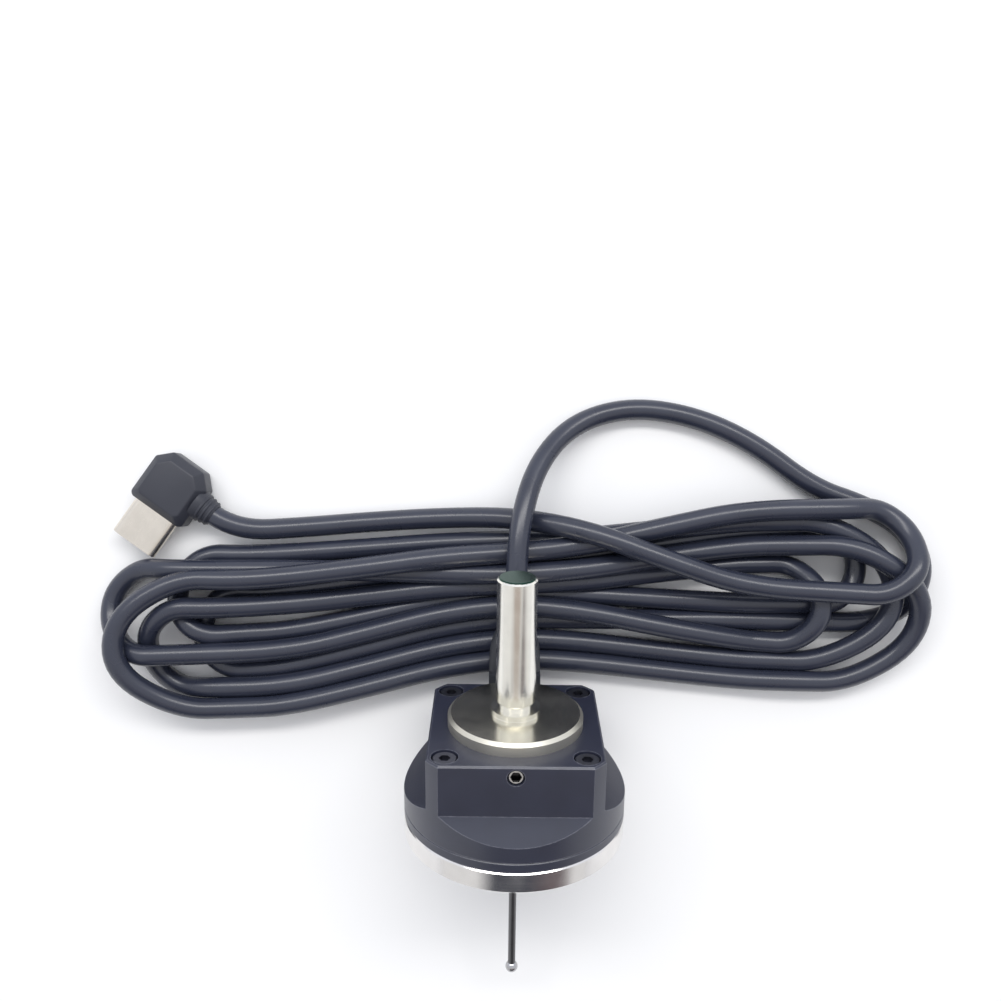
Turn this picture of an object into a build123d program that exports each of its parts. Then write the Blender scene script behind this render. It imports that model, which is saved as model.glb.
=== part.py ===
from build123d import *
import math
import os

# A wired touch probe for finding edges, lying on its back on a table, with its cord tied up in a hank
# under its shank. Millimetres. Each piece is modelled upright, with Z up the probe's axis, Z = 0 at the
# underside of the steel plate and Y towards the cord, and is then laid down on the table.

# Housing
BODY_D = 34.0
FLAT_ACROSS = 25.8
HOUSING_H = 12.8
FLAT_H = 8.0
SLOPE_DROP = 2.4
EDGE_BREAK = 0.25
SIDE_COUNT = 4
CUT_MARGIN = 1.0
CAVITY_SHARE = 0.66
TOP_WALL = 4.6

# Ring and steel plate under the housing
RING_H = 1.5
PLATE_H = 3.7
PLATE_CHAMFER = 0.4
PLATE_BEVEL = 0.5
OPENING_D = 10.6
NOTCH_R = 0.8
NOTCH_COUNT = 3
SPANNER_HOLE_D = 1.0
SPANNER_HOLE_PCD = 16.2

# Shank, flange and the parts that hold it
SHANK_D = 6.0
SHANK_L = 20.0
SHANK_CHAMFER = 0.4
NECK_D = 5.0
NECK_H = 0.8
COLLAR_D = 7.5
COLLAR_H = 0.8
FLANGE_D = 20.5
FLANGE_H = 2.0
FLANGE_CHAMFER = 0.5
SPIGOT_D = 12.0
CENTRING_PLAY = 0.25
WASHER_D = 16.0
WASHER_H = 1.0
CLAMP_SCREW_D = 2.5
CLAMP_HEAD_D = 4.7
CLAMP_HEAD_H = 0.9
CLAMP_SCREW_L = 4.5

# Screws
COVER_SCREW_D = 2.0
COVER_HEAD_D = 3.8
COVER_HEAD_H = 2.0
COVER_SCREW_SHARE = 0.556
COVER_HEAD_SINK = 0.2
COVER_THREAD_GRIP = 2.4
SET_SCREW_D = 2.5
SET_SCREW_L = 6.6
SET_SCREW_DEPTH = 1.75
HEX_KEY = 1.5
HEX_DEPTH = 1.1
SCREW_PLAY = 0.1

# Contact seats: a tripod whose three pins rest on three pairs of balls
SEAT_INSET = 2.72
SEAT_COUNT = 3
SEAT_FIRST_ANGLE = 270.0
BOARD_H = 1.0
BOARD_PLAY = 0.2
BOARD_HOLE_D = 11.2
BALL_D = 2.0
BALL_HOLE_D = 1.2
BALL_SPREAD = 1.2
PIN_D = 1.5
PIN_END_GAP = 1.02
PIN_ROOT_R = 2.9
SEAT_PLAY = 0.05

# Tripod hub, return spring and sealing membrane
HUB_D = 8.0
HUB_UNDER_PIN = 1.6
HUB_OVER_PIN = 2.2
HUB_RECESS_D = 6.6
HUB_RECESS_OVER_PIN = 0.9
NECK_BELOW_HUB_D = 5.4
STUD_D = 2.0
STUD_L = 4.0
SPRING_D = 5.5
SPRING_WIRE_D = 0.5
SPRING_TURNS = 3.0
MEMBRANE_D = 14.0
MEMBRANE_H = 0.4
MEMBRANE_PLAY = 0.05

# Stylus
STYLUS_COLLAR_H = 2.0
STYLUS_CONE_D = 4.6
STYLUS_CONE_L = 2.4
STYLUS_WAIST_D = 2.6
STYLUS_TIP_D = 1.8
STYLUS_BASE_L = 7.0
STEM_D = 1.2
STEM_SOCKET_L = 3.0
STYLUS_BALL_D = 2.0
STYLUS_REACH = 27.5
COLLAR_DROP = 0.2

# Moulded strain relief on the back flat
BOOT_W = 8.4
BOOT_T = 4.2
BOOT_L = 9.2
BOOT_ABOVE_FOOT = 0.2
BOOT_ROUND = 0.9
BOOT_SPIGOT_D = 3.0
BOOT_SPIGOT_RISE = 1.8
BOOT_SPIGOT_PROUD = 0.6
SLEEVE_L = 8.6
SLEEVE_END_D = 3.8
SLEEVE_SHOULDER = (0.5, 8.0, 4.1)
SLEEVE_TAPER = (0.85, 6.0, 4.0)
LEAD_D = 0.9
LEAD_SPREAD = 0.75
LEAD_INSET = 2.4
LEAD_BEND = 1.2

# Cord, its hank and its plug, laid on the table
CORD_D = 3.5
ARC_SHARE = 0.45
LEAD_STRAIGHT = 7.0
LEAD_POINTS = [
    (0.6, 40.5, 10.6),
    (3.4, 50.0, 6.6),
    (9.5, 57.0, 2.6),
    (19.0, 60.0, 1.75),
    (30.0, 58.6, 1.77),
    (40.5, 54.0, 1.75),
    (50.5, 46.5, 1.77),
]
TAIL_STRAIGHT = 7.7
TAIL_END = (-34.0, 32.0, 5.25)
HANK_OUTLINE = [
    (-69, 24),
    (-48, 7.6),
    (-14, 13.6),
    (14, 14),
    (52, 12.5),
    (70.5, 28),
    (50, 45.5),
    (14, 38.5),
    (-14, 38),
    (-44, 34),
    (-61, 31),
]
HANK_UPPER_OUTLINE = [
    (-60, 23),
    (-44, 13),
    (-12, 25),
    (12, 25),
    (44, 16),
    (61, 28),
    (46, 40),
    (12, 36),
    (-12, 35.5),
    (-42, 33),
]
PLUG_W = 10.5
PLUG_DEPTH = 10.0
PLUG_T = 6.0
PLUG_ROUND = 1.6
PLUG_NECK_D = 5.0
PLUG_NECK_L = 3.0
PLUG_CENTRE = (-57.8, 45.5)
PLUG_TURN = 235.0
SHELL_W = 8.34
SHELL_T = 2.56
SHELL_L = 6.65
SHELL_WALL = 0.3
TONGUE_W = 6.6
TONGUE_T = 0.7
TONGUE_SHORT = 0.8

# How the probe lies: its axis rises from the table towards the shank
LEAN = 16.8

# Heights and radii worked out from the sizes above
body_r = BODY_D / 2
flat_r = FLAT_ACROSS / 2
plate_top = PLATE_H
ring_top = plate_top + RING_H
housing_top = ring_top + HOUSING_H
cavity_d = CAVITY_SHARE * BODY_D
cavity_r = cavity_d / 2
cover_screw_r = cavity_r + COVER_SCREW_SHARE * (body_r - cavity_r)
seat_r = cavity_r - SEAT_INSET
pin_end_r = cavity_r - PIN_END_GAP
cavity_top = housing_top - TOP_WALL
flat_foot = housing_top - FLAT_H
flange_top = housing_top + FLANGE_H
shank_foot = flange_top + COLLAR_H + NECK_H
shank_top = shank_foot + SHANK_L
washer_foot = cavity_top - WASHER_H
board_top = plate_top + BOARD_H
ball_r = BALL_D / 2
ball_z = board_top + math.sqrt(ball_r**2 - (BALL_HOLE_D / 2) ** 2)
pin_z = ball_z + math.sqrt((ball_r + PIN_D / 2 + SEAT_PLAY) ** 2 - BALL_SPREAD**2)
hub_foot = pin_z - HUB_UNDER_PIN
hub_top = pin_z + HUB_OVER_PIN
spring_foot = pin_z + HUB_RECESS_OVER_PIN
hub_end = -COLLAR_DROP
collar_end = hub_end - STYLUS_COLLAR_H
base_end = collar_end - STYLUS_BASE_L
tip_ball_z = STYLUS_BALL_D / 2 - STYLUS_REACH
set_screw_z = housing_top - SET_SCREW_DEPTH
boot_foot = flat_foot + BOOT_ABOVE_FOOT
boot_top = boot_foot + BOOT_L
sleeve_y = flat_r + BOOT_T / 2
sleeve_end = boot_top + SLEEVE_L
boot_spigot_z = boot_foot + BOOT_SPIGOT_RISE

UPWARD = (Align.CENTER, Align.CENTER, Align.MIN)


def turned(profile):
    """A solid of revolution about Z from (radius, height) points."""
    return revolve(Plane.XZ * make_face(Polyline(*profile, close=True)), Axis.Z)


def rod(diameter, foot, top):
    """An upright round bar on the axis."""
    return Pos(0, 0, foot) * Cylinder(diameter / 2, top - foot, align=UPWARD)


def at_corners(piece):
    """The piece repeated at the four cover screw places."""
    offset = cover_screw_r / math.sqrt(2)
    places = [Pos(x, y, 0) for x in (-offset, offset) for y in (-offset, offset)]
    return [place * piece for place in places]


def around(piece, count, first=0.0):
    """The piece repeated evenly about the axis."""
    return [Rot(0, 0, first + 360 / count * i) * piece for i in range(count)]


def sideways(piece, height):
    """A piece made upright on the axis, turned to point towards the cord at the given height."""
    return Pos(0, 0, height) * Rot(-90, 0, 0) * piece


def hex_socket(depth):
    """A hexagon key socket that goes down from Z = 0."""
    across_corners = HEX_KEY / math.cos(math.radians(30))
    return extrude(RegularPolygon(across_corners / 2, 6), amount=-depth)


def make_housing():
    body = rod(BODY_D, ring_top, housing_top)
    beyond = body_r + CUT_MARGIN
    fall = SLOPE_DROP / (body_r - flat_r)
    side = [
        (flat_r, housing_top + CUT_MARGIN),
        (flat_r, flat_foot),
        (beyond, flat_foot - fall * (beyond - flat_r)),
        (beyond, housing_top + CUT_MARGIN),
    ]
    cutter = extrude(Plane.YZ * make_face(Polyline(*side, close=True)), amount=body_r, both=True)
    body -= around(cutter, SIDE_COUNT)
    body = chamfer(body.faces().sort_by(Axis.Z)[-1].edges(), EDGE_BREAK)
    body -= rod(cavity_d, ring_top, cavity_top)
    body -= rod(SPIGOT_D + 2 * CENTRING_PLAY, cavity_top, housing_top)
    body -= at_corners(rod(COVER_SCREW_D + 2 * SCREW_PLAY, ring_top, housing_top))
    head_floor = housing_top - COVER_HEAD_SINK - COVER_HEAD_H
    body -= at_corners(rod(COVER_HEAD_D + 2 * SCREW_PLAY, head_floor, housing_top))
    side_hole = sideways(rod(SET_SCREW_D + SCREW_PLAY, SPIGOT_D / 2, body_r), set_screw_z)
    body -= around(side_hole, SIDE_COUNT)
    return body - sideways(rod(BOOT_SPIGOT_D, cavity_r / 2, body_r), boot_spigot_z)


def make_base_ring():
    ring = rod(BODY_D, plate_top, ring_top)
    ring = chamfer(ring.edges().filter_by(GeomType.CIRCLE).sort_by(Axis.Z)[-1], EDGE_BREAK)
    ring -= rod(cavity_d, plate_top, ring_top)
    return ring - at_corners(rod(COVER_SCREW_D + 2 * SCREW_PLAY, plate_top, ring_top))


def make_base_plate():
    opening_r = OPENING_D / 2
    recess_r = MEMBRANE_D / 2 + MEMBRANE_PLAY
    plate = turned(
        [
            (opening_r, 0),
            (body_r - PLATE_BEVEL, 0),
            (body_r, PLATE_BEVEL),
            (body_r, plate_top - PLATE_CHAMFER),
            (body_r - PLATE_CHAMFER, plate_top),
            (recess_r, plate_top),
            (recess_r, plate_top - MEMBRANE_H),
            (opening_r, plate_top - MEMBRANE_H),
        ]
    )
    notch = Pos(opening_r, 0, 0) * rod(2 * NOTCH_R, 0, plate_top - MEMBRANE_H)
    plate -= around(notch, NOTCH_COUNT, SEAT_FIRST_ANGLE)
    spanner_hole = Pos(SPANNER_HOLE_PCD / 2, 0, 0) * rod(SPANNER_HOLE_D, 0, plate_top)
    plate -= around(spanner_hole, NOTCH_COUNT, SEAT_FIRST_ANGLE + 180)
    return plate - at_corners(rod(COVER_SCREW_D, plate_top - COVER_THREAD_GRIP, plate_top))


def make_shank():
    tip_r = SHANK_D / 2 - SHANK_CHAMFER
    shank = turned(
        [
            (0, cavity_top),
            (SPIGOT_D / 2, cavity_top),
            (SPIGOT_D / 2, housing_top),
            (FLANGE_D / 2, housing_top),
            (FLANGE_D / 2, flange_top - FLANGE_CHAMFER),
            (FLANGE_D / 2 - FLANGE_CHAMFER, flange_top),
            (COLLAR_D / 2, flange_top),
            (COLLAR_D / 2, flange_top + COLLAR_H),
            (NECK_D / 2, flange_top + COLLAR_H),
            (NECK_D / 2, shank_foot),
            (tip_r, shank_foot),
            (SHANK_D / 2, shank_foot + SHANK_CHAMFER),
            (SHANK_D / 2, shank_top - SHANK_CHAMFER),
            (tip_r, shank_top),
            (0, shank_top),
        ]
    )
    return shank - rod(CLAMP_SCREW_D, cavity_top, washer_foot + CLAMP_SCREW_L)


def make_flange_washer():
    head_r = CLAMP_HEAD_D / 2
    hole_r = CLAMP_SCREW_D / 2 + SCREW_PLAY
    return turned(
        [
            (head_r, washer_foot),
            (WASHER_D / 2, washer_foot),
            (WASHER_D / 2, cavity_top),
            (hole_r, cavity_top),
            (hole_r, washer_foot + CLAMP_HEAD_H),
        ]
    )


def make_flange_screw():
    screw = turned(
        [
            (0, washer_foot),
            (CLAMP_HEAD_D / 2, washer_foot),
            (CLAMP_SCREW_D / 2, washer_foot + CLAMP_HEAD_H),
            (CLAMP_SCREW_D / 2, washer_foot + CLAMP_SCREW_L),
            (0, washer_foot + CLAMP_SCREW_L),
        ]
    )
    return screw - Pos(0, 0, washer_foot) * mirror(hex_socket(HEX_DEPTH), Plane.XY)


def make_cover_screws():
    head_top = housing_top - COVER_HEAD_SINK
    head_foot = head_top - COVER_HEAD_H
    screw = rod(COVER_HEAD_D, head_foot, head_top)
    screw = chamfer(screw.edges().filter_by(GeomType.CIRCLE).sort_by(Axis.Z)[-1], EDGE_BREAK)
    screw += rod(COVER_SCREW_D, plate_top - COVER_THREAD_GRIP, head_foot)
    screw -= Pos(0, 0, head_top) * hex_socket(HEX_DEPTH)
    return at_corners(screw)


def make_centring_screws():
    inner = SPIGOT_D / 2
    outer = inner + SET_SCREW_L
    screw = rod(SET_SCREW_D, inner, outer)
    screw = chamfer(screw.edges().filter_by(GeomType.CIRCLE), EDGE_BREAK)
    screw -= Pos(0, 0, outer) * hex_socket(HEX_DEPTH)
    return around(sideways(screw, set_screw_z), SIDE_COUNT)


def seat_places():
    """The middle of each ball pair, as turns about the axis."""
    return [SEAT_FIRST_ANGLE + 360 / SEAT_COUNT * i for i in range(SEAT_COUNT)]


def at_balls(piece):
    """The piece repeated at each of the balls."""
    pair = [Pos(seat_r, y, 0) * piece for y in (-BALL_SPREAD, BALL_SPREAD)]
    return [Rot(0, 0, angle) * each for angle in seat_places() for each in pair]


def make_contact_board():
    board = rod(cavity_d - 2 * BOARD_PLAY, plate_top, board_top) - rod(BOARD_HOLE_D, plate_top, board_top)
    return board - at_balls(rod(BALL_HOLE_D, plate_top, board_top))


def make_contact_balls():
    return at_balls(Pos(0, 0, ball_z) * Sphere(ball_r))


def make_signal_leads():
    lead_y = cavity_r - LEAD_INSET
    end_y = cavity_r - BOOT_SPIGOT_PROUD
    leads = []
    for x in (-LEAD_SPREAD, LEAD_SPREAD):
        route = FilletPolyline(
            (x, lead_y, board_top), (x, lead_y, boot_spigot_z), (x, end_y, boot_spigot_z), radius=LEAD_BEND
        )
        leads.append(sweep(Plane(route @ 0, z_dir=route % 0) * Circle(LEAD_D / 2), path=route))
    return leads


def make_cord_boot():
    middle = Pos(0, sleeve_y, (boot_foot + boot_top) / 2)
    block = middle * Box(BOOT_W, BOOT_T, BOOT_L)
    outer = block.edges().filter_by(Axis.Z)
    block = fillet(outer.sort_by(Axis.Y)[2:], BOOT_ROUND)
    sections = [(0, BOOT_W, BOOT_T), SLEEVE_SHOULDER, SLEEVE_TAPER, (1, SLEEVE_END_D, SLEEVE_END_D)]
    faces = []
    for share, width, thick in sections:
        faces.append(Pos(0, sleeve_y, boot_top + share * SLEEVE_L) * Ellipse(width / 2, thick / 2))
    sleeve = loft(faces)
    spigot_foot = cavity_r - BOOT_SPIGOT_PROUD
    return block + sleeve + sideways(rod(BOOT_SPIGOT_D, spigot_foot, sleeve_y), boot_spigot_z)


def make_tripod_hub():
    recess_r = HUB_RECESS_D / 2
    neck_r = NECK_BELOW_HUB_D / 2
    hub = turned(
        [
            (0, hub_end),
            (neck_r, hub_end),
            (neck_r, hub_foot),
            (HUB_D / 2, hub_foot),
            (HUB_D / 2, hub_top),
            (recess_r, hub_top),
            (recess_r, spring_foot),
            (0, spring_foot),
        ]
    )
    hub -= rod(STUD_D, hub_end, hub_end + STUD_L)
    pin_hole = Pos(0, 0, pin_z) * Rot(0, 90, 0) * rod(PIN_D, PIN_ROOT_R, HUB_D)
    return hub - [Rot(0, 0, angle) * pin_hole for angle in seat_places()]


def make_contact_pins():
    pin = rod(PIN_D, PIN_ROOT_R, pin_end_r)
    pin = chamfer(pin.edges().filter_by(GeomType.CIRCLE).sort_by(Axis.Z)[-1], EDGE_BREAK)
    pin = Pos(0, 0, pin_z) * Rot(0, 90, 0) * pin
    return [Rot(0, 0, angle) * pin for angle in seat_places()]


def make_return_spring():
    wire_r = SPRING_WIRE_D / 2
    height = washer_foot - spring_foot - SPRING_WIRE_D
    coil = Helix(pitch=height / SPRING_TURNS, height=height, radius=SPRING_D / 2)
    coil = Pos(0, 0, spring_foot + wire_r) * coil
    return sweep(Plane(coil @ 0, z_dir=coil % 0) * Circle(wire_r), path=coil, is_frenet=True)


def make_seal_membrane():
    foot = plate_top - MEMBRANE_H
    return rod(MEMBRANE_D, foot, plate_top) - rod(NECK_BELOW_HUB_D + 2 * MEMBRANE_PLAY, foot, plate_top)


def make_lock_collar():
    collar = rod(NECK_BELOW_HUB_D, collar_end, hub_end)
    collar = chamfer(collar.edges().filter_by(GeomType.CIRCLE), EDGE_BREAK)
    return collar - rod(STUD_D, collar_end, hub_end)


def make_stylus_base():
    return turned(
        [
            (0, base_end + STEM_SOCKET_L),
            (STEM_D / 2, base_end + STEM_SOCKET_L),
            (STEM_D / 2, base_end),
            (STYLUS_TIP_D / 2, base_end),
            (STYLUS_WAIST_D / 2, collar_end - STYLUS_CONE_L),
            (STYLUS_CONE_D / 2, collar_end),
            (STUD_D / 2, collar_end),
            (STUD_D / 2, hub_end + STUD_L),
            (0, hub_end + STUD_L),
        ]
    )


def make_stylus_stem():
    seat = math.sqrt((STYLUS_BALL_D / 2) ** 2 - (STEM_D / 2) ** 2)
    stem = rod(STEM_D, tip_ball_z + seat, base_end + STEM_SOCKET_L)
    return stem - Pos(0, 0, tip_ball_z) * Sphere(STYLUS_BALL_D / 2)


def make_stylus_ball():
    return Pos(0, 0, tip_ball_z) * Sphere(STYLUS_BALL_D / 2)


def place_on_table(pieces):
    """The move that lays the probe down: its lowest point on the table, its middle at Y = 0."""
    turn = Rot(-(90 - LEAN), 0, 0)
    lying = Compound([turn * piece for piece in pieces]).bounding_box()
    middle = (lying.min.Y + lying.max.Y) / 2
    return Pos(0, -middle, -lying.min.Z) * turn


def cord_route(start, heading):
    """The free lead's points, from the strain relief's mouth over the hank and down to the table."""
    return [start, start + heading * LEAD_STRAIGHT] + [Vector(*point) for point in LEAD_POINTS]


def cord_side():
    """The plug's direction towards its cord."""
    turn = math.radians(PLUG_TURN + 90)
    return Vector(math.cos(turn), math.sin(turn))


def tail_route():
    """The free tail's points, from the plug's neck into the hank."""
    mouth = plug_mouth()
    return [mouth, mouth + cord_side() * TAIL_STRAIGHT, Vector(*TAIL_END)]


def plug_mouth():
    """Where the cord enters the plug's neck."""
    x, y = PLUG_CENTRE
    return Vector(x, y, PLUG_T / 2) + cord_side() * (PLUG_W / 2 + PLUG_NECK_L)


def tube(points):
    """A round tube along straight runs joined by arcs as large as the runs allow."""
    runs = [b - a for a, b in zip(points, points[1:])]
    radii = []
    for before, after in zip(runs, runs[1:]):
        half_turn = math.radians(before.get_angle(after)) / 2
        radii.append(ARC_SHARE * min(before.length, after.length) / math.tan(half_turn))
    route = FilletPolyline(*points, radius=radii)
    solid = sweep(Plane(route @ 0, z_dir=route % 0) * Circle(CORD_D / 2), path=route)
    section = math.pi * CORD_D**2 / 4
    print("bend radii", [round(r, 1) for r in radii])
    print("length", round(route.length, 1), "volume share", round(solid.volume / section / route.length, 4))
    return solid


def make_cord_hank():
    """The outer shape of the tied hank: two layers of strands, drawn in at the waist."""
    first = make_face(Spline(*HANK_OUTLINE, periodic=True))
    second = Pos(0, 0, CORD_D) * make_face(Spline(*HANK_UPPER_OUTLINE, periodic=True))
    return extrude(first, amount=CORD_D) + extrude(second, amount=CORD_D)


def plug_place():
    """The plug's own frame: X along its shell, Y towards the cord, on the table."""
    x, y = PLUG_CENTRE
    return Pos(x, y, PLUG_T / 2) * Rot(0, 0, PLUG_TURN)


def make_plug_body():
    block = Box(PLUG_DEPTH, PLUG_W, PLUG_T)
    block = fillet(block.edges().filter_by(Axis.Y), PLUG_ROUND)
    neck = Pos(0, PLUG_W / 2, 0) * Rot(-90, 0, 0) * rod(PLUG_NECK_D, 0, PLUG_NECK_L)
    return plug_place() * (block + neck)


def shell_outline(inset):
    """The plug shell's rounded section, drawn in by the inset."""
    return SlotOverall(SHELL_W - 2 * inset, SHELL_T - 2 * inset, rotation=90)


def make_plug_shell():
    face = Plane.YZ.offset(PLUG_DEPTH / 2)
    section = shell_outline(0) - shell_outline(SHELL_WALL)
    return plug_place() * extrude(face * Rot(0, 0, 90) * section, amount=SHELL_L)


def make_plug_insert():
    length = SHELL_L - TONGUE_SHORT
    tongue = Box(length, TONGUE_W, TONGUE_T, align=(Align.MIN, Align.CENTER, Align.CENTER))
    return plug_place() * Pos(PLUG_DEPTH / 2, 0, 0) * tongue


def main():
    os.makedirs("parts", exist_ok=True)
    probe = {
        "shank": make_shank(),
        "housing": make_housing(),
        "base_ring": make_base_ring(),
        "base_plate": make_base_plate(),
        "cover_screws": make_cover_screws(),
        "centring_screws": make_centring_screws(),
        "flange_washer": make_flange_washer(),
        "flange_screw": make_flange_screw(),
        "contact_board": make_contact_board(),
        "contact_balls": make_contact_balls(),
        "signal_leads": make_signal_leads(),
        "return_spring": make_return_spring(),
        "seal_membrane": make_seal_membrane(),
        "tripod_hub": make_tripod_hub(),
        "contact_pins": make_contact_pins(),
        "lock_collar": make_lock_collar(),
        "stylus_base": make_stylus_base(),
        "stylus_stem": make_stylus_stem(),
        "stylus_ball": make_stylus_ball(),
    }
    as_group = {name: Compound(piece) if isinstance(piece, list) else piece for name, piece in probe.items()}
    lay = place_on_table(as_group.values())
    print("local origin on the table", lay.position)
    boot = lay * make_cord_boot()
    mouth = (lay * Pos(0, sleeve_y, sleeve_end)).position
    heading = Vector(0, math.cos(math.radians(LEAN)), math.sin(math.radians(LEAN)))
    cord = {
        "cord_boot": boot,
        "cord_lead": tube(cord_route(mouth, heading)),
        "cord_hank": make_cord_hank(),
        "cord_tail": tube(tail_route()),
        "plug_body": make_plug_body(),
        "plug_shell": make_plug_shell(),
        "plug_insert": make_plug_insert(),
    }
    for name, piece in as_group.items():
        export_step(lay * piece, f"parts/{name}.step")
    for name, piece in cord.items():
        export_step(piece, f"parts/{name}.step")


main()
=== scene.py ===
import math

import bmesh
import bpy
from mathutils import Matrix, Vector


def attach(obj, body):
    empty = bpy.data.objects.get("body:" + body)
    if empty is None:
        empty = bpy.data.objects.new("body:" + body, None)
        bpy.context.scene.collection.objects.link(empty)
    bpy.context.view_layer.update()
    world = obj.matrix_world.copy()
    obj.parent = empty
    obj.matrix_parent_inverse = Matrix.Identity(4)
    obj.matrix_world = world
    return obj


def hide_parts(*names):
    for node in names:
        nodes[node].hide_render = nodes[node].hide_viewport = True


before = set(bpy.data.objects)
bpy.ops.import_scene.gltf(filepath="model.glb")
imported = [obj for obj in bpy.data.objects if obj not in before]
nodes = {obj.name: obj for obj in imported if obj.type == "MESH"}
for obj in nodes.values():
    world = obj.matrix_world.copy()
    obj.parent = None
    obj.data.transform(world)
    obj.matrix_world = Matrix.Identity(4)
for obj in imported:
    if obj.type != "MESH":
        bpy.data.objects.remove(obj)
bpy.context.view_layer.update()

# A wired touch probe lying on its back on a pale table, its cord tied in a hank under the shank.
# Sizes are millimetres in this file, and metres in the scene.
MM = 0.001

# The probe's own frame: Z up its axis from the plate's underside, Y towards the cord
LEAN = math.radians(16.8)
PROBE_ORIGIN = Vector((0.0, -7.1035, 16.1299))
PROBE_TURN = LEAN - math.pi / 2
PROBE = Matrix.Translation(PROBE_ORIGIN) @ Matrix.Rotation(PROBE_TURN, 4, "X")
SHANK_TOP = 41.6
END_DEPTH = 0.24
LACQUER_EDGE = (2.78, 2.86)
LACQUER_WANDER = 0.12
FLANGE_R = 10.25
FLANGE_EDGE = 0.48
COLLAR_R = 3.75
COLLAR_PLAY = 0.05
PLATE_TOP = 3.7
SET_SCREW_END = 12.6
SOCKET_DEPTH = 0.45
SEAT_R = 8.6
SEAT_PAD_HALF = 1.3

# Seal, with its lip as (out from the neck, down from the rim)
SEAL_R = 7.0
SEAL_T = 0.4
OPENING_R = 5.3
HUB_NECK_R = 2.7
SEAL_PLAY = 0.03
ROLL_SHIFT = 0.15
ROLL_HALF = 0.85
ROLL_DROP = 0.95
ROLL_SKIN = 0.32
ROLL_INNER_SHARE = 0.9
ROLL_STEPS = 10
LIP = [(0.3, 0.0), (0.26, 0.5), (0.12, 0.62), (0.0, 0.55)]
LIP_TOP_DROP = 0.05

# Plug frame: X along its shell, Y towards the cord
PLUG_TURN = math.radians(235.0)
PLUG_MIDDLE = Vector((-57.8, 45.5, 3.0))
PLUG = Matrix.Translation(PLUG_MIDDLE) @ Matrix.Rotation(PLUG_TURN, 4, "Z")
PLUG_DEPTH = 10.0
PLUG_W = 10.5
PLUG_T = 6.0
GRIP_CUT = 2.2
GRIP_CUT_EASE = 0.4
GRIP_CORNER = 0.6
GRIP_ROUND = 0.22
# Slopes of the grip's lower and upper edge, as (inset, height)
GRIP_FOOT = (0.5, 0.7)
GRIP_TOP = (1.3, 1.5)
NECK_R = 2.5
NECK_L = 3.0
# Each ring of the neck, as (radius over NECK_R, height)
NECK_PROFILE = [(0.35, -0.6), (0.2, 0.2), (-0.15, 0.9), (-0.4, NECK_L - 0.3), (-0.6, NECK_L)]
FIRST_RING = 0.8
TONGUE_T = 0.7
TONGUE_L = 5.85
PAD_SETBACK = 2.4

# Cord. Where it lies on the table, its middle is one cord radius up.
CORD_D = 3.5
CORD_R = CORD_D / 2
LEAD_POINTS = [
    (0.0, 24.04, 9.86),
    (0.0, 30.74, 11.88),
    (0.6, 40.5, 10.6),
    (3.4, 50.0, 6.6),
    (9.5, 57.0, 2.6),
    (19.0, 60.0, CORD_R),
    (30.0, 58.6, 1.77),
    (40.5, 54.0, CORD_R),
    (50.5, 46.5, 1.77),
]
FIRST_FOLD = [
    (59.5, 43.6, CORD_R),
    (66.8, 39.4, CORD_R),
    (69.8, 33.0, CORD_R),
    (67.2, 26.6, CORD_R),
    (60.0, 23.6, CORD_R),
    (49.0, 23.8, CORD_R),
    (37.0, 24.0, CORD_R),
    (24.0, 23.9, CORD_R),
    (12.0, 23.8, CORD_R),
]
# Each turn: where its near strand crosses the waist, its left fold (reach, near, far), where its far
# strand crosses, its right fold, and the heights of its points as they lie on the strands below
TURNS = [
    (23.9, (-53.0, 14.6, 28.0), 33.4, (58.0, 26.8, 39.6),
     [CORD_R] * 21 + [2.85, 2.78, 3.22, 2.27, CORD_R]),
    (28.2, (-57.0, 20.6, 34.2), 37.0, (63.4, 17.0, 41.0),
     [CORD_R] * 4 + [3.06, 5.12, 3.99] + [CORD_R] * 7
     + [3.04, 4.01, 4.47, 4.52, 4.92, 4.61, 5.12, 2.73] + [CORD_R] * 4),
    (20.5, (-61.6, 11.5, 25.6), 29.8, (51.0, 20.2, 33.6),
     [1.98, 2.84, 2.95, 3.52, 3.52, CORD_R, CORD_R, 5.52, 7.14, 6.83, 3.82, 3.22, 4.07, 4.43]
     + [3.98] + [CORD_R] * 4 + [5.84, 5.84, 3.71, 2.51, 3.11, 4.91, 4.61]),
    (26.4, (-68.4, 17.4, 31.8), 31.6, (67.4, 13.6, 37.0),
     [4.35, 4.28, 3.71, 4.03, 6.76, 6.86, 3.1, CORD_R, 2.48, 5.31, 4.09, 4.23, 6.17, 7.03]
     + [6.26, 4.04, 3.75, 4.58, 7.8, 7.79, 3.84, 2.29, 3.14, 2.16, 2.26, 2.28]),
    (17.1, (-65.8, 8.3, 30.4), 35.2, (65.6, 29.0, 43.2),
     [2.37, 3.66, 4.15, 4.48, 4.21, 4.83, 8.89, 8.82, 7.61, 7.82, 6.85, 8.27, 8.07, 7.28]
     + [5.98, 7.08, 7.08, 7.28, 4.92, 6.79, 11.07, 10.35, 8.76, 7.91, 9.47, 9.47]),
]
TAIL_WAIST = 41.0
TAIL_POINTS = [
    (0.0, TAIL_WAIST, 4.41),
    (-12.0, 40.8, CORD_R),
    (-24.0, 40.0, CORD_R),
    (-36.0, 38.9, CORD_R),
    (-47.0, 38.2, 3.2),
    (-51.04, 40.77, 3.0),
]
WAIST_STATIONS = (12.0, 25.0, 38.0)
WAIST_REACH = 46.0
FOLD_CORNER = 0.414
FOLD_RUN = 0.85
FOLD_EASE = 0.2
# Wide folds are drawn out: by this share for each millimetre that their radius is over the tight one
FOLD_STRETCH = 0.1
TIGHT_FOLD_R = 6.0

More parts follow.
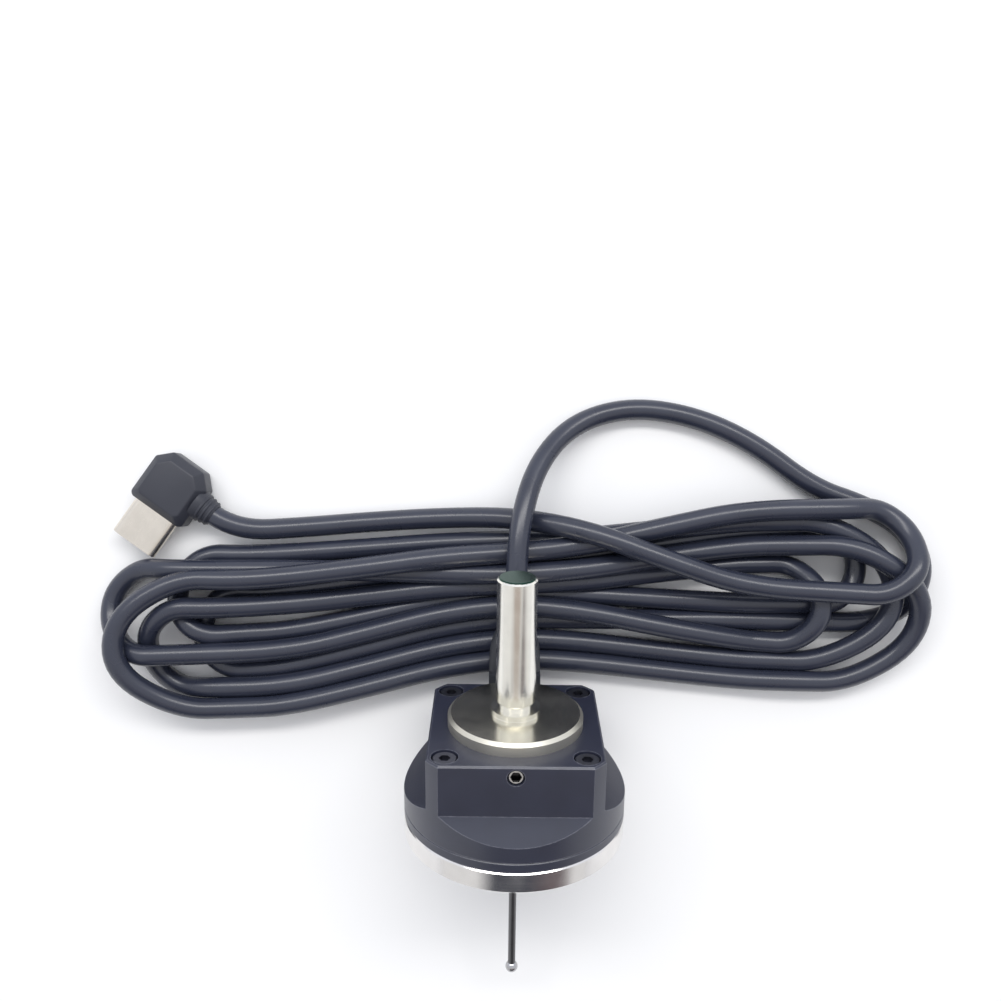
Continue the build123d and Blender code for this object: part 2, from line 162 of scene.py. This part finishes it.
# Noise values mostly lie between these two
NOISE_LOW = 0.3
NOISE_HIGH = 0.7

# Table, lamp and camera
FLOOR_HALF = 1.2
LAMP_PLACE = (0.0, 0.38, 0.56)
LAMP_TARGET = (0.0, 0.02, 0.0)
LAMP_SIZE = (0.9, 0.13)
LAMP_POWER = 2.6
LAMP_COLOUR = (1.0, 0.985, 0.96)
CAMERA_PLACE = (-2.6, 43.8, 181.9)
CAMERA_ROLL = 0.6
CAMERA_LENS = 38.03
CAMERA_SENSOR = 36.0
CAMERA_NEAREST = 0.01


# Helpers for meshes

def add_object(name, data):
    """A new object at the origin."""
    made = bpy.data.objects.new(name, data)
    bpy.context.collection.objects.link(made)
    return made


def settle_mesh(obj, place, finish, smooth_deg=35.0):
    """Puts a millimetre mesh in its place, in metres, with its finish and rounded shading."""
    mesh = obj.data
    mesh.transform(Matrix.Scale(MM, 4) @ place)
    mesh.materials.clear()
    mesh.materials.append(finish)
    mesh.shade_smooth()
    mesh.set_sharp_from_angle(angle=math.radians(smooth_deg))
    return obj


def closed_object(name, bm):
    """An object from a finished closed bmesh, with its faces turned outwards."""
    bmesh.ops.recalc_face_normals(bm, faces=bm.faces)
    mesh = bpy.data.meshes.new(name)
    bm.to_mesh(mesh)
    bm.free()
    return add_object(name, mesh)


def lofted(name, levels):
    """A closed mesh through outlines of equal point counts, each a list of (x, y, z)."""
    bm = bmesh.new()
    rings = [[bm.verts.new(p) for p in level] for level in levels]
    for low, high in zip(rings, rings[1:]):
        count = len(low)
        for i in range(count):
            j = (i + 1) % count
            bm.faces.new((low[i], low[j], high[j], high[i]))
    bm.faces.new(list(reversed(rings[0])))
    bm.faces.new(rings[-1])
    return closed_object(name, bm)


def revolved(name, profile, count=72):
    """A closed ring mesh from a closed outline of (radius, height) points turned about Z."""
    bm = bmesh.new()
    rings = []
    for i in range(count):
        turn = math.tau * i / count
        rings.append([bm.verts.new((r * math.cos(turn), r * math.sin(turn), z)) for r, z in profile])
    for first, second in zip(rings, rings[1:] + rings[:1]):
        for i in range(len(profile)):
            j = (i + 1) % len(profile)
            bm.faces.new((first[i], second[i], second[j], first[j]))
    return closed_object(name, bm)


def bevelled(obj, width, segments=3, angle_deg=25.0):
    """Rounds the edges of a millimetre mesh and keeps the result as a plain mesh."""
    bevel = obj.modifiers.new("round", "BEVEL")
    bevel.width = width
    bevel.segments = segments
    bevel.limit_method = "ANGLE"
    bevel.angle_limit = math.radians(angle_deg)
    return as_plain(obj)


def as_plain(obj):
    """Replaces an object's mesh by what its modifiers give, and removes them."""
    bpy.context.view_layer.update()
    result = bpy.data.meshes.new_from_object(obj.evaluated_get(bpy.context.evaluated_depsgraph_get()))
    obj.modifiers.clear()
    obj.data = result
    return obj


# Helpers for node trees

def feed(tree, socket, value):
    """Links a socket to another one, or sets it to a plain value."""
    if isinstance(value, bpy.types.NodeSocket):
        tree.links.new(value, socket)
    else:
        socket.default_value = value


def add_node(tree, kind, **inputs):
    """A node with its inputs set or linked by name."""
    made = tree.nodes.new(kind)
    for key, value in inputs.items():
        feed(tree, made.inputs[key.replace("_", " ")], value)
    return made


def maths(tree, operation, *values):
    """A math node's result from sockets and numbers."""
    made = tree.nodes.new("ShaderNodeMath")
    made.operation = operation
    for socket, value in zip(made.inputs, values):
        feed(tree, socket, value)
    return made.outputs[0]


def product(tree, first, *others):
    """All the values multiplied."""
    for other in others:
        first = maths(tree, "MULTIPLY", first, other)
    return first


def mixed(tree, share, first, second):
    """A colour between two, by a share."""
    made = tree.nodes.new("ShaderNodeMix")
    made.data_type = "RGBA"
    for index, value in ((0, share), (6, first), (7, second)):
        feed(tree, made.inputs[index], (*value, 1.0) if isinstance(value, tuple) else value)
    return made.outputs[2]


def between(tree, value, low, high, out_low, out_high):
    """A value mapped from one range to another, held at its ends."""
    made = add_node(tree, "ShaderNodeMapRange", Value=value)
    for index, number in zip((1, 2, 3, 4), (low, high, out_low, out_high)):
        made.inputs[index].default_value = number
    return made.outputs[0]


def ramp(tree, value, start, end):
    """A share that goes from 0 at the start to 1 at the end."""
    return between(tree, value, start, end, 0.0, 1.0)


def spread(tree, value, low, high):
    """A noise value drawn out to run from low to high."""
    return between(tree, value, NOISE_LOW, NOISE_HIGH, low, high)


# Helpers for finishes

def new_finish(name, colour, roughness, metallic=0.0):
    """A material with one principled shader. Returns the material, its tree and the shader."""
    material = bpy.data.materials.new(name)
    material.use_nodes = True
    tree = material.node_tree
    tree.nodes.clear()
    out = tree.nodes.new("ShaderNodeOutputMaterial")
    shader = tree.nodes.new("ShaderNodeBsdfPrincipled")
    tree.links.new(shader.outputs["BSDF"], out.inputs["Surface"])
    shader.inputs["Base Color"].default_value = (*colour, 1.0)
    shader.inputs["Roughness"].default_value = roughness
    shader.inputs["Metallic"].default_value = metallic
    return material, tree, shader


def dress(tree, shader, colour=None, roughness=None):
    """Gives a shader its colour and roughness from sockets."""
    if colour is not None:
        tree.links.new(colour, shader.inputs["Base Color"])
    if roughness is not None:
        tree.links.new(roughness, shader.inputs["Roughness"])


def table_coords(tree):
    """Object coordinates in millimetres."""
    found = tree.nodes.new("ShaderNodeTexCoord").outputs["Object"]
    return add_node(tree, "ShaderNodeMapping", Vector=found, Scale=(1 / MM,) * 3).outputs[0]


def turned_coords(tree, place):
    """Object coordinates in millimetres in a placed piece's own frame."""
    coords = tree.nodes.new("ShaderNodeTexCoord")
    inverse = place.inverted()
    return add_node(
        tree,
        "ShaderNodeMapping",
        Vector=coords.outputs["Object"],
        Location=inverse.to_translation(),
        Rotation=inverse.to_euler(),
        Scale=(1 / MM,) * 3,
    ).outputs[0]


def noise(tree, coords, scale, detail=4.0, roughness=0.5):
    """A noise value over the coordinates."""
    return add_node(
        tree, "ShaderNodeTexNoise", Vector=coords, Scale=scale, Detail=detail, Roughness=roughness
    ).outputs[0]


def bump(tree, shader, height, depth_mm, strength=1.0):
    """A height in millimetres on the shader's normal."""
    made = add_node(tree, "ShaderNodeBump", Height=height, Strength=strength, Distance=depth_mm * MM)
    tree.links.new(made.outputs[0], shader.inputs["Normal"])


def axis_parts(tree, coords):
    """The distance from the axis and the height along it."""
    x, y, height = add_node(tree, "ShaderNodeSeparateXYZ", Vector=coords).outputs
    squares = maths(tree, "ADD", product(tree, x, x), product(tree, y, y))
    return maths(tree, "SQRT", squares), height


def turning_marks(tree, coords):
    """Fine rings left by a lathe tool, as a noise that only changes along the profile."""
    radius, height = axis_parts(tree, coords)
    profile = add_node(tree, "ShaderNodeCombineXYZ", X=radius, Y=height).outputs[0]
    return noise(tree, profile, 9.0, 6.0, 0.7)


def edge_share(tree, width_mm):
    """Near 1 at sharp edges and 0 on plain faces."""
    rounded = add_node(tree, "ShaderNodeBevel", Radius=width_mm * MM)
    plain = tree.nodes.new("ShaderNodeNewGeometry")
    dot = tree.nodes.new("ShaderNodeVectorMath")
    dot.operation = "DOT_PRODUCT"
    tree.links.new(rounded.outputs[0], dot.inputs[0])
    tree.links.new(plain.outputs["Normal"], dot.inputs[1])
    return ramp(tree, dot.outputs["Value"], 0.99, 0.86)


# Finishes

def make_anodised():
    """Satin black anodised aluminium: faint blue, fine grain, its edges painted paler, partly as wear and
    partly as a painted highlight.
    """
    material, tree, shader = new_finish("anodised_black", (0.012, 0.013, 0.02), 0.4)
    coords = turned_coords(tree, PROBE)
    cloud = noise(tree, coords, 0.22, 5.0)
    grain = noise(tree, coords, 13.0, 3.0, 0.6)
    dark = mixed(tree, cloud, (0.015, 0.0172, 0.0325), (0.0248, 0.0286, 0.052))
    # Paler edges: partly real wear, partly a painted highlight along every sharp edge
    worn_and_highlit_edges = product(tree, edge_share(tree, 0.2), spread(tree, noise(tree, coords, 0.9), 0.2, 0.75))
    dress(tree, shader, mixed(tree, worn_and_highlit_edges, dark, (0.28, 0.29, 0.34)), spread(tree, grain, 0.3, 0.4))
    shader.inputs["Specular IOR Level"].default_value = 0.8
    bump(tree, shader, grain, 0.006)
    return material


def make_turned_steel(name, colour, rough_low, rough_high):
    """Turned steel: fine lathe rings and a faint cloud of handling."""
    material, tree, shader = new_finish(name, colour, rough_low, 1.0)
    coords = turned_coords(tree, PROBE)
    rings = turning_marks(tree, coords)
    cloud = noise(tree, coords, 0.35, 4.0)
    pale = tuple(min(1.0, c * 1.06) for c in colour)
    deep = tuple(c * 0.86 for c in colour)
    ringed = spread(tree, rings, rough_low, rough_high)
    handled = spread(tree, cloud, -0.02, 0.03)
    dress(tree, shader, mixed(tree, cloud, deep, pale), maths(tree, "ADD", ringed, handled))
    bump(tree, shader, rings, 0.0025)
    return material, tree, shader


def make_shank_finish():
    """Turned steel with a duller flange, its rim brushed, and a lacquered end face inside a bright edge."""
    dull = (0.55, 0.52, 0.42)
    dull_share = 0.55
    brushed_rough = 0.4
    material, tree, shader = make_turned_steel("shank_steel", (0.92, 0.9, 0.83), 0.15, 0.25)
    steel = shader.inputs["Base Color"].links[0].from_socket
    steel_rough = shader.inputs["Roughness"].links[0].from_socket
    coords = turned_coords(tree, PROBE)
    radius, height = axis_parts(tree, coords)
    on_flange = maths(tree, "GREATER_THAN", radius, COLLAR_R + COLLAR_PLAY)
    steel = mixed(tree, product(tree, on_flange, dull_share), steel, dull)
    on_end = maths(tree, "GREATER_THAN", height, SHANK_TOP - END_DEPTH)
    wander = product(tree, noise(tree, coords, 2.2), LACQUER_WANDER)
    inside = between(tree, maths(tree, "ADD", radius, wander), *LACQUER_EDGE, 1.0, 0.0)
    green = mixed(tree, noise(tree, coords, 1.6), (0.008, 0.038, 0.027), (0.014, 0.06, 0.042))
    on_rim = maths(tree, "GREATER_THAN", radius, FLANGE_R - FLANGE_EDGE)
    rim_rough = product(tree, on_rim, brushed_rough)
    dress(
        tree,
        shader,
        mixed(tree, product(tree, on_end, inside), steel, green),
        maths(tree, "MAXIMUM", steel_rough, rim_rough),
    )
    return material


def make_moulded(name, low, high, rough_low, rough_high, grain_scale, depth, gloss=0.5):
    """Moulded rubber or plastic: dark, fine grained, slightly uneven in sheen."""
    material, tree, shader = new_finish(name, low, rough_low)
    coords = table_coords(tree)
    grain = noise(tree, coords, grain_scale, 4.0, 0.6)
    cloud = noise(tree, coords, 0.18, 3.0)
    dress(tree, shader, mixed(tree, cloud, low, high), spread(tree, cloud, rough_low, rough_high))
    shader.inputs["Specular IOR Level"].default_value = gloss
    bump(tree, shader, grain, depth)
    return material


def make_plain_metal(name, place, colour, rough_low, rough_high, stretch):
    """Drawn or plated metal: fine lines along one way of the piece and soft stains."""
    material, tree, shader = new_finish(name, colour, rough_low, 1.0)
    coords = turned_coords(tree, place)
    drawn = add_node(tree, "ShaderNodeVectorMath")
    drawn.operation = "MULTIPLY"
    tree.links.new(coords, drawn.inputs[0])
    drawn.inputs[1].default_value = stretch
    lines = noise(tree, drawn.outputs[0], 1.0, 5.0, 0.65)
    cloud = noise(tree, coords, 0.5, 4.0)
    stained = tuple(c * 0.84 for c in colour)
    dress(tree, shader, mixed(tree, cloud, stained, colour), spread(tree, lines, rough_low, rough_high))
    bump(tree, shader, lines, 0.002)
    return material


def make_set_screw_finish():
    """Plain steel, with painted shade: the socket in each screw's outer end is painted near black."""
    material = make_plain_metal("set_screw_steel", PROBE, (0.86, 0.85, 0.81), 0.16, 0.28, (6.0, 6.0, 6.0))
    tree = material.node_tree
    shader = tree.nodes["Principled BSDF"]
    steel = shader.inputs["Base Color"].links[0].from_socket
    x, y, _ = add_node(tree, "ShaderNodeSeparateXYZ", Vector=turned_coords(tree, PROBE)).outputs
    reach = maths(tree, "MAXIMUM", maths(tree, "ABSOLUTE", x), maths(tree, "ABSOLUTE", y))
    # Painted shade: the inside of each screw's socket is coloured near black
    socket_shade = maths(tree, "LESS_THAN", reach, SET_SCREW_END - SOCKET_DEPTH)
    dress(tree, shader, mixed(tree, socket_shade, steel, (0.03, 0.028, 0.028)))
    return material


def make_board_finish():
    """Green laminate with a faint glass weave and a tinned ring under the seats."""
    tin = (0.5, 0.48, 0.42)
    tin_share = 0.5
    material, tree, shader = new_finish("board_green", (0.03, 0.16, 0.07), 0.45)
    coords = turned_coords(tree, PROBE)
    weave = add_node(
        tree,
        "ShaderNodeTexBrick",
        Vector=coords,
        Scale=2.2,
        Color1=(0.02, 0.13, 0.05, 1.0),
        Color2=(0.03, 0.17, 0.07, 1.0),
        Mortar=(0.016, 0.1, 0.04, 1.0),
    )
    radius, _ = axis_parts(tree, coords)
    off_seats = maths(tree, "ABSOLUTE", maths(tree, "SUBTRACT", radius, SEAT_R))
    tinned = product(tree, maths(tree, "LESS_THAN", off_seats, SEAT_PAD_HALF), tin_share)
    dress(
        tree,
        shader,
        mixed(tree, tinned, weave.outputs["Color"], tin),
        spread(tree, noise(tree, coords, 1.2), 0.35, 0.55),
    )
    return material


def make_floor_finish():
    """Plain pale table top."""
    material, tree, shader = new_finish("table_pale", (0.9, 0.9, 0.9), 0.55)
    cloud = noise(tree, table_coords(tree), 0.02, 2.0)
    dress(tree, shader, mixed(tree, cloud, (0.9, 0.9, 0.9), (0.92, 0.92, 0.915)))
    return material


# Cord

def eased(share):
    """A share from 0 to 1 that starts and ends gently."""
    share = min(max(share, 0.0), 1.0)
    return share * share * (3 - 2 * share)


def fold(reach, near, far):
    """The points of one fold of the hank, from its near strand to its far one."""
    side = 1 if reach > 0 else -1
    radius = (far - near) / 2
    middle = (far + near) / 2
    corner = FOLD_CORNER * radius
    stretch = 1 + max(0.0, radius - TIGHT_FOLD_R) * FOLD_STRETCH
    start = reach - side * (radius - corner) * stretch
    run = start - side * FOLD_RUN * radius
    return [
        (run, near + FOLD_EASE),
        (start, near),
        (reach, middle - corner),
        (reach, middle + corner),
        (start, far),
        (run, far - FOLD_EASE),
    ]


def strand(waist, lobe, side):
    """The points of one strand from the waist out towards a fold."""
    return [(side * s, waist + (lobe - waist) * eased(s / WAIST_REACH)) for s in WAIST_STATIONS]


def hank_points():
    """The whole cord from the strain relief to the plug."""
    points = list(LEAD_POINTS) + list(FIRST_FOLD)
    next_waists = [turn[0] for turn in TURNS[1:]] + [TAIL_WAIST]
    for turn, next_waist in zip(TURNS, next_waists):
        near_waist, left, far_waist, right, heights = turn
        flat = [(0.0, near_waist)] + strand(near_waist, left[1], -1) + fold(*left)
        flat += strand(far_waist, left[2], -1)[::-1] + [(0.0, far_waist)]
        flat += strand(far_waist, right[2], 1) + fold(*right)[::-1] + strand(next_waist, right[1], 1)[::-1]
        points += [(x, y, z) for (x, y), z in zip(flat, heights)]
    return points + TAIL_POINTS


def make_cord(finish):
    """The cord as one smooth round spline."""
    curve = bpy.data.curves.new("cord", "CURVE")
    curve.dimensions = "3D"
    points = hank_points()
    spline = curve.splines.new("NURBS")
    spline.points.add(len(points) - 1)
    for point, place in zip(spline.points, points):
        point.co = (*(v * MM for v in place), 1.0)
    spline.use_endpoint_u = True
    spline.order_u = 3
    spline.resolution_u = 8
    curve.bevel_depth = CORD_R * MM
    curve.bevel_resolution = 6
    curve.use_fill_caps = True
    curve.materials.append(finish)
    return add_object("cord", curve)


# Seal in the plate's opening

def make_seal_diaphragm(finish):
    """A rubber diaphragm: a flat rim held on the plate, one rolled fold and a lip round the hub's neck."""
    rim_foot = PLATE_TOP - SEAL_T
    lip_r = HUB_NECK_R + SEAL_PLAY
    roll_r = (OPENING_R + HUB_NECK_R) / 2 + ROLL_SHIFT
    under = [(SEAL_R, rim_foot)]
    over = [(SEAL_R, PLATE_TOP)]
    for i in range(ROLL_STEPS + 1):
        turn = math.pi * i / ROLL_STEPS
        across = math.cos(turn)
        down = ROLL_DROP * math.sin(turn)
        under.append((roll_r + ROLL_HALF * across, rim_foot - down))
        inner_height = rim_foot + ROLL_SKIN - down * ROLL_INNER_SHARE
        over.append((roll_r + (ROLL_HALF - ROLL_SKIN) * across, inner_height))
    under += [(lip_r + out, rim_foot - down) for out, down in LIP]
    over.append((lip_r, PLATE_TOP - LIP_TOP_DROP))
    diaphragm = revolved("seal_diaphragm", under + over[::-1])
    return settle_mesh(diaphragm, PROBE, finish, 50.0)


# Plug

def make_plug_grip(finish):
    """The plug's moulded grip: a cut-cornered block with a sloped top edge."""
    half_x = PLUG_DEPTH / 2
    half_y = PLUG_W / 2
    half_z = PLUG_T / 2

    def outline(inset, height):
        x = half_x - inset
        y = half_y - inset
        c = GRIP_CUT - inset * GRIP_CUT_EASE
        return [
            (x, -y + GRIP_CORNER, height),
            (x, y - GRIP_CORNER, height),
            (x - GRIP_CORNER, y, height),
            (-x + c, y, height),
            (-x, y - c, height),
            (-x, -y + c, height),
            (-x + c, -y, height),
            (x - GRIP_CORNER, -y, height),
        ]

    foot_inset, foot_height = GRIP_FOOT
    top_inset, top_height = GRIP_TOP
    levels = [
        outline(foot_inset, -half_z),
        outline(0.0, -half_z + foot_height),
        outline(0.0, half_z - top_height),
        outline(top_inset, half_z),
    ]
    grip = bevelled(lofted("plug_grip", levels), GRIP_ROUND)
    return settle_mesh(grip, PLUG, finish, 40.0)


def on_neck(start):
    """A place on the plug's neck, Z along it, that far out from the grip."""
    return PLUG @ Matrix.Translation((0, PLUG_W / 2 + start, 0)) @ Matrix.Rotation(-math.pi / 2, 4, "X")


def ring_outline(radius, height, count=32):
    """The points of one level circle."""
    turns = [math.tau * i / count for i in range(count)]
    return [(radius * math.cos(turn), radius * math.sin(turn), height) for turn in turns]


def make_plug_neck(finish):
    """The plug's tapered neck round the cord."""
    neck = lofted("plug_neck", [ring_outline(NECK_R + over, z) for over, z in NECK_PROFILE])
    return settle_mesh(neck, on_neck(0.0), finish)


# Repeated details by Geometry Nodes

def start_tree(name, inputs):
    """A geometry tree with named inputs. Returns the tree and its input and output nodes."""
    tree = bpy.data.node_groups.new(name, "GeometryNodeTree")
    tree.interface.new_socket("Geometry", in_out="OUTPUT", socket_type="NodeSocketGeometry")
    for label, kind in inputs:
        tree.interface.new_socket(label, in_out="INPUT", socket_type=kind)
    return tree, tree.nodes.new("NodeGroupInput"), tree.nodes.new("NodeGroupOutput")


def end_tree(tree, given, result, instances):
    """Realizes the instances and gives them their material."""
    real = add_node(tree, "GeometryNodeRealizeInstances", Geometry=instances).outputs[0]
    painted = add_node(tree, "GeometryNodeSetMaterial", Geometry=real, Material=given.outputs["Finish"])
    tree.links.new(painted.outputs[0], result.inputs[0])


def grow(name, tree, values, place, smooth_deg=35.0):
    """A plain mesh from a tree with its inputs set, in its place."""
    obj = add_object(name, bpy.data.meshes.new(name))
    modifier = obj.modifiers.new("grow", "NODES")
    modifier.node_group = tree
    for item in tree.interface.items_tree:
        if item.in_out == "INPUT":
            modifier[item.identifier] = values[item.name]
    as_plain(obj)
    return settle_mesh(obj, place, values["Finish"], smooth_deg)


def ring_tree():
    """Rounded rings in a row up Z that get smaller from the first to the last."""
    tree, given, result = start_tree(
        "relief_rings",
        [
            ("Rings", "NodeSocketInt"),
            ("Pitch", "NodeSocketFloat"),
            ("First Radius", "NodeSocketFloat"),
            ("Last Radius", "NodeSocketFloat"),
            ("Bead", "NodeSocketFloat"),
            ("Finish", "NodeSocketMaterial"),
        ],
    )
    step = add_node(tree, "ShaderNodeCombineXYZ", Z=given.outputs["Pitch"])
    row = add_node(tree, "GeometryNodeMeshLine", Count=given.outputs["Rings"], Offset=step.outputs[0])
    circle = add_node(tree, "GeometryNodeCurvePrimitiveCircle", Resolution=40, Radius=1.0)
    bead = add_node(tree, "GeometryNodeCurvePrimitiveCircle", Resolution=10, Radius=given.outputs["Bead"])
    ring = add_node(
        tree, "GeometryNodeCurveToMesh", Curve=circle.outputs["Curve"], Profile_Curve=bead.outputs["Curve"]
    )
    index = tree.nodes.new("GeometryNodeInputIndex")
    last = maths(tree, "SUBTRACT", given.outputs["Rings"], 1.0)
    size = tree.nodes.new("ShaderNodeMapRange")
    for socket, value in (
        (0, index.outputs[0]),
        (2, last),
        (3, given.outputs["First Radius"]),
        (4, given.outputs["Last Radius"]),
    ):
        tree.links.new(value, size.inputs[socket])
    placed = add_node(
        tree,
        "GeometryNodeInstanceOnPoints",
        Points=row.outputs[0],
        Instance=ring.outputs[0],
        Scale=size.outputs[0],
    )
    end_tree(tree, given, result, placed.outputs[0])
    return tree


def pad_tree():
    """Two rows of flat contact pads, back to back."""
    tree, given, result = start_tree(
        "contact_pads",
        [
            ("Pads", "NodeSocketInt"),
            ("Spread", "NodeSocketFloat"),
            ("Gap", "NodeSocketFloat"),
            ("Pad Size", "NodeSocketVector"),
            ("Finish", "NodeSocketMaterial"),
        ],
    )
    grid = add_node(
        tree,
        "GeometryNodeMeshGrid",
        Size_X=given.outputs["Gap"],
        Size_Y=given.outputs["Spread"],
        Vertices_X=2,
        Vertices_Y=given.outputs["Pads"],
    )
    pad = add_node(tree, "GeometryNodeMeshCube", Size=given.outputs["Pad Size"])
    placed = add_node(tree, "GeometryNodeInstanceOnPoints", Points=grid.outputs[0], Instance=pad.outputs[0])
    end_tree(tree, given, result, placed.outputs[0])
    return tree


# Dress the carried-over pieces
anodised = make_anodised()
turned_steel = make_turned_steel("turned_steel", (0.82, 0.8, 0.78), 0.1, 0.2)[0]
stylus_steel = make_turned_steel("stylus_steel", (0.145, 0.145, 0.15), 0.26, 0.36)[0]
ball_steel = make_turned_steel("ball_steel", (0.5, 0.5, 0.51), 0.1, 0.2)[0]
shank_finish = make_shank_finish()
screw_steel = make_plain_metal("screw_steel", PROBE, (0.6, 0.57, 0.5), 0.25, 0.42, (6.0, 6.0, 6.0))
set_screw_steel = make_set_screw_finish()
black_oxide = make_plain_metal("black_oxide", PROBE, (0.17, 0.175, 0.21), 0.3, 0.42, (8.0, 8.0, 8.0))
moulded_rubber = make_moulded(
    "moulded_rubber", (0.026, 0.028, 0.035), (0.037, 0.04, 0.048), 0.45, 0.58, 7.0, 0.01
)
cord_jacket = make_moulded(
    "cord_jacket", (0.02, 0.0235, 0.04), (0.029, 0.034, 0.056), 0.25, 0.31, 3.0, 0.006, 0.65
)
lead_jacket = make_moulded("lead_jacket", (0.2, 0.02, 0.02), (0.26, 0.03, 0.025), 0.4, 0.5, 4.0, 0.004)
plug_plastic = make_moulded(
    "plug_plastic", (0.024, 0.026, 0.037), (0.034, 0.037, 0.051), 0.38, 0.48, 9.0, 0.012
)
plug_nickel = make_plain_metal("plug_nickel", PLUG, (0.82, 0.76, 0.67), 0.16, 0.3, (0.6, 7.0, 7.0))
pad_gold = make_plain_metal("pad_gold", PLUG, (0.83, 0.62, 0.28), 0.2, 0.32, (1.0, 6.0, 6.0))
board_green = make_board_finish()

FINISH_OF = {
    "housing": anodised,
    "base_ring": anodised,
    "shank": shank_finish,
    "base_plate": turned_steel,
    "flange_washer": turned_steel,
    "contact_pins": turned_steel,
    "contact_balls": turned_steel,
    "tripod_hub": turned_steel,
    "lock_collar": stylus_steel,
    "stylus_base": stylus_steel,
    "stylus_stem": stylus_steel,
    "stylus_ball": ball_steel,
    "centring_screws": set_screw_steel,
    "flange_screw": screw_steel,
    "return_spring": screw_steel,
    "cover_screws": black_oxide,
    "contact_board": board_green,
    "cord_boot": moulded_rubber,
    "signal_leads": lead_jacket,
    "plug_insert": plug_plastic,
    "plug_shell": plug_nickel,
}
for name, finish in FINISH_OF.items():
    mesh = nodes[name].data
    mesh.materials.clear()
    mesh.materials.append(finish)

# Seal, cord and plug
seal_diaphragm = make_seal_diaphragm(moulded_rubber)
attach(seal_diaphragm, "housing")
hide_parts("seal_membrane")

cord = make_cord(cord_jacket)
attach(cord, "housing")
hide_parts("cord_lead", "cord_hank", "cord_tail")

plug_grip = make_plug_grip(plug_plastic)
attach(plug_grip, "housing")
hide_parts("plug_body")

plug_neck = make_plug_neck(plug_plastic)
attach(plug_neck, "housing")

neck_rings = grow(
    "neck_rings",
    ring_tree(),
    {
        "Rings": 3,
        "Pitch": 0.85,
        "First Radius": 2.3,
        "Last Radius": 2.0,
        "Bead": 0.13,
        "Finish": plug_plastic,
    },
    on_neck(FIRST_RING),
)
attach(neck_rings, "housing")

PAD_TURN = Matrix(((0, 0, -1, 0), (0, 1, 0, 0), (1, 0, 0, 0), (0, 0, 0, 1)))
contact_pads = grow(
    "contact_pads",
    pad_tree(),
    {"Pads": 12, "Spread": 5.5, "Gap": TONGUE_T, "Pad Size": (0.08, 0.25, 3.4), "Finish": pad_gold},
    PLUG @ Matrix.Translation((PLUG_DEPTH / 2 + TONGUE_L - PAD_SETBACK, 0, 0)) @ PAD_TURN,
)
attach(contact_pads, "housing")

# Table, light and camera
floor_mesh = bpy.data.meshes.new("table")
floor_corners = [(x * FLOOR_HALF, y * FLOOR_HALF, 0) for x, y in ((-1, -1), (1, -1), (1, 1), (-1, 1))]
floor_mesh.from_pydata(floor_corners, [], [(0, 1, 2, 3)])
floor_mesh.materials.append(make_floor_finish())
add_object("table", floor_mesh)


def add_light(name, place, target, size, power, colour):
    """A soft lamp, wide and deep as given, that faces a point of the object."""
    lamp = bpy.data.lights.new(name, "AREA")
    lamp.shape = "RECTANGLE"
    lamp.size, lamp.size_y = size
    lamp.energy = power
    lamp.color = colour
    obj = add_object(name, lamp)
    obj.location = place
    obj.rotation_euler = (Vector(target) - Vector(place)).to_track_quat("-Z", "Y").to_euler()


add_light("sky_lamp", LAMP_PLACE, LAMP_TARGET, LAMP_SIZE, LAMP_POWER, LAMP_COLOUR)


def make_studio():
    """A pale room with a dim patch on the near side and a warm one above it, for the steel to mirror."""
    world = bpy.data.worlds.new("studio")
    world.use_nodes = True
    tree = world.node_tree
    sky = tree.nodes["Background"]
    way = tree.nodes.new("ShaderNodeTexCoord").outputs["Generated"]
    x, y, z = add_node(tree, "ShaderNodeSeparateXYZ", Vector=way).outputs

    # Where the patches begin and end, as parts of the direction looked in
    near = ramp(tree, y, -0.45, -0.62)
    over_table = ramp(tree, z, 0.16, 0.26)
    low = ramp(tree, z, 0.67, 0.62)
    high = ramp(tree, z, 0.68, 0.74)
    left = ramp(tree, x, -0.5, -0.28)
    right = ramp(tree, x, 0.85, 0.6)
    middle = ramp(tree, maths(tree, "ABSOLUTE", x), 0.48, 0.26)
    dim = product(tree, near, low, over_table, left, right)
    warm = product(tree, near, high, middle)

    room_colour = mixed(tree, ramp(tree, y, -0.6, 0.5), (0.84, 0.84, 0.85), (0.92, 0.95, 1.03))
    dim_colour = mixed(tree, ramp(tree, x, 0.2, 0.5), (0.05, 0.055, 0.075), (0.16, 0.13, 0.14))
    warmed = mixed(tree, warm, room_colour, (0.42, 0.34, 0.3))
    tree.links.new(mixed(tree, dim, warmed, dim_colour), sky.inputs[0])
    sky.inputs[1].default_value = 1.0
    return world


bpy.context.scene.world = make_studio()
bpy.context.scene.view_settings.view_transform = "Standard"

lens = bpy.data.cameras.new("camera")
lens.lens = CAMERA_LENS
lens.sensor_width = CAMERA_SENSOR
lens.clip_start = CAMERA_NEAREST
camera = add_object("camera", lens)
camera.location = [v * MM for v in CAMERA_PLACE]
camera.rotation_euler = (0.0, 0.0, math.radians(CAMERA_ROLL))
bpy.context.scene.camera = camera
